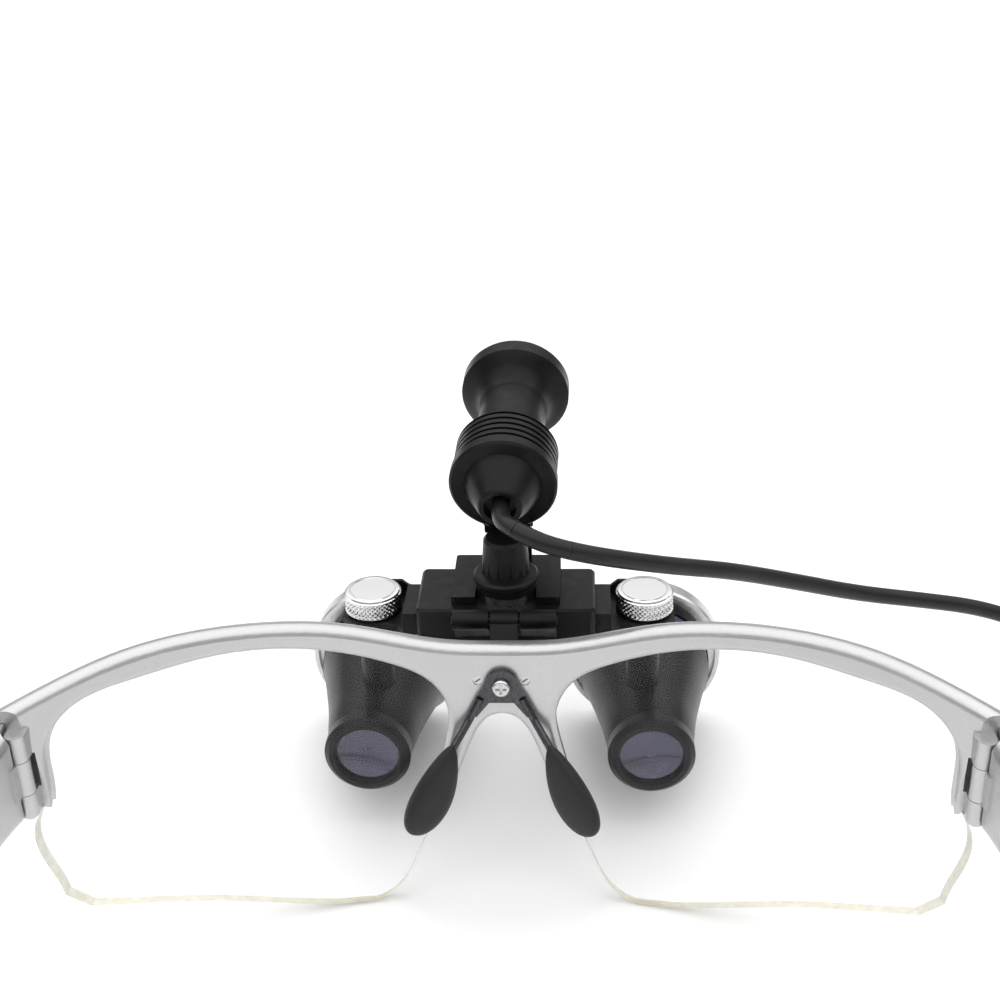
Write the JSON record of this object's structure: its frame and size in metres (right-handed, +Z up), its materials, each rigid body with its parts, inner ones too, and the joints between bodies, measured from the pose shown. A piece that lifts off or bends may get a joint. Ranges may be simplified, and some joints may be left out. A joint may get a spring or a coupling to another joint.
{
  "type": "dental loupes",
  "caption": "Half-rim wrap spectacles with flip-up telescopic loupes on a sliding crossbar and a tilting LED lamp on a corded lead.",
  "frame": {"origin": "on the floor under the middle of the loupes' box, without the lead", "axes": "+X to the wearer's right, +Y forward, the way the telescopes look, +Z up"},
  "size_m": [0.2613, 0.209, 0.0802],
  "materials": {
    "frame_silver": "satin silver paint",
    "temple_silver": "satin silver paint",
    "lens_clear": "clear safety lens",
    "steel_dark": "gunmetal",
    "screw_steel": "bright zinc",
    "pad_rubber": "soft black",
    "tip_rubber": "soft dark grey",
    "black_anodised": "satin black anodising",
    "knob_chrome": "knurled chrome",
    "knob_black": "moulded black",
    "stud_steel": "plain steel",
    "barrel_black": "satin black",
    "rim_silver": "satin silver",
    "optic_glass": "coated optical glass",
    "lamp_black": "satin black anodising",
    "board_white": "white circuit board",
    "led_yellow": "phosphor dome",
    "lamp_clear": "clear collimator",
    "grommet_rubber": "black",
    "cable_black": "satin black jacket",
    "tie_black": "black hook and loop tape",
    "plug_black": "moulded black",
    "plug_metal": "bright nickel"
  },
  "bodies": {
    "frame": {"front_frame": "frame_silver", "lens_left": "lens_clear", "lens_right": "lens_clear", "nose_plate": "steel_dark", "nose_screw": "screw_steel", "nose_pad_left": "pad_rubber", "nose_pad_right": "pad_rubber", "bracket_base": "black_anodised", "bracket_screws": "screw_steel", "flip_pin": "black_anodised", "hinge_screws": "screw_steel", "cable": "cable_black", "cable_coil": "cable_black", "coil_tie": "tie_black", "cable_tail": "cable_black", "plug_boot": "plug_black", "plug_body": "plug_black", "plug_sleeve": "plug_metal", "plug_insulator": "plug_black"},
    "temple_left": {"temple_left": "temple_silver", "ear_tip_left": "tip_rubber"},
    "temple_right": {"temple_right": "temple_silver", "ear_tip_right": "tip_rubber"},
    "flip": {"crossbar": "black_anodised", "lamp_shoe": "black_anodised", "lamp_stud": "stud_steel"},
    "loupe_left": {"slide_arm_left": "black_anodised", "barrel_post_left": "black_anodised", "barrel_housing_left": "barrel_black", "eyepiece_ring_left": "barrel_black", "ocular_lens_left": "optic_glass", "objective_lens_left": "optic_glass", "lens_retainer_left": "barrel_black", "objective_rim_left": "rim_silver"},
    "loupe_right": {"slide_arm_right": "black_anodised", "barrel_post_right": "black_anodised", "barrel_housing_right": "barrel_black", "eyepiece_ring_right": "barrel_black", "ocular_lens_right": "optic_glass", "objective_lens_right": "optic_glass", "lens_retainer_right": "barrel_black", "objective_rim_right": "rim_silver"},
    "nut_left": {"thumb_nut_left": "knob_chrome"},
    "nut_right": {"thumb_nut_right": "knob_chrome"},
    "lamp_yoke": {"lamp_bracket": "black_anodised", "tilt_pin": "black_anodised"},
    "lamp_knob": {"lamp_knob": "knob_black"},
    "lamp": {"lamp_rear_cap": "lamp_black", "lamp_heat_sink": "lamp_black", "lamp_head": "lamp_black", "led_board": "board_white", "led_emitter": "led_yellow", "lamp_lens": "lamp_clear", "lamp_lens_ring": "lamp_black", "cable_grommet": "grommet_rubber", "inner_lead": "cable_black"}
  },
  "joints": [
    {"name": "temple_left_fold", "type": "hinge", "parent": "frame", "child": "temple_left", "pos_m": [-0.0704, 0.0241, 0.04], "axis": [0, 0, 1], "range_deg": [0, 86]},
    {"name": "temple_right_fold", "type": "hinge", "parent": "frame", "child": "temple_right", "pos_m": [0.0704, 0.0241, 0.04], "axis": [0, 0, -1], "range_deg": [0, 76]},
    {"name": "flip_up", "type": "hinge", "parent": "frame", "child": "flip", "pos_m": [0, 0.062, 0.0438], "axis": [1, 0, 0], "range_deg": [0, 60], "deforming": ["cable"]},
    {"name": "loupe_left_slide", "type": "slide", "parent": "flip", "child": "loupe_left", "axis": [-1, 0, 0], "range_m": [0, 0.008]},
    {"name": "loupe_right_slide", "type": "slide", "parent": "flip", "child": "loupe_right", "axis": [1, 0, 0], "range_m": [0, 0.008]},
    {"name": "nut_left_turn", "type": "hinge", "parent": "loupe_left", "child": "nut_left", "pos_m": [-0.024, 0.075, 0.04], "axis": [0, 0, 1], "continuous": true},
    {"name": "nut_right_turn", "type": "hinge", "parent": "loupe_right", "child": "nut_right", "pos_m": [0.024, 0.075, 0.04], "axis": [0, 0, 1], "continuous": true},
    {"name": "lamp_pan", "type": "hinge", "parent": "flip", "child": "lamp_yoke", "pos_m": [0, 0.0705, 0.0463], "axis": [0, 0, 1], "range_deg": [-25, 25], "deforming": ["cable"]},
    {"name": "lamp_knob_turn", "type": "hinge", "parent": "flip", "child": "lamp_knob", "pos_m": [0, 0.0705, 0.051], "axis": [0, 0, 1], "continuous": true},
    {"name": "lamp_tilt", "type": "hinge", "parent": "lamp_yoke", "child": "lamp", "pos_m": [0.0003, 0.07729, 0.0544], "axis": [0.999, -0.0436, 0], "range_deg": [-30, 5], "deforming": ["cable"]}
  ]
}
